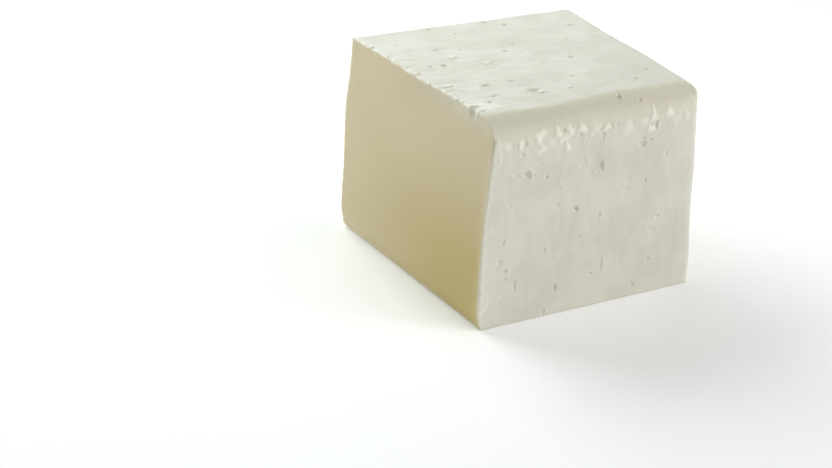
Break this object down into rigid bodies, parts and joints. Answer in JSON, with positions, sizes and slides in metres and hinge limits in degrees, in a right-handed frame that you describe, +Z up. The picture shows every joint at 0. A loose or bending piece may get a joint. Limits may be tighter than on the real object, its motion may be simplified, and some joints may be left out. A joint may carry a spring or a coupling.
{
  "type": "feta block",
  "caption": "Block of feta cheese cut from a longer loaf, with small pits, a softly rounded top front edge and a smooth cut face, standing flat on its base.",
  "frame": {"origin": "middle of the base of the block's bounding box, on the surface that it stands on", "axes": "+Z up, -Y out of the front moulded face, -X out of the flat cut face"},
  "size_m": [0.1174, 0.1168, 0.0923],
  "materials": {
    "feta": "fresh white brined cheese, ivory on the cut face, moist with a soft broken gloss, slightly translucent, with small open pits"
  },
  "bodies": {
    "root": {"feta_block": "feta"}
  },
  "joints": []
}
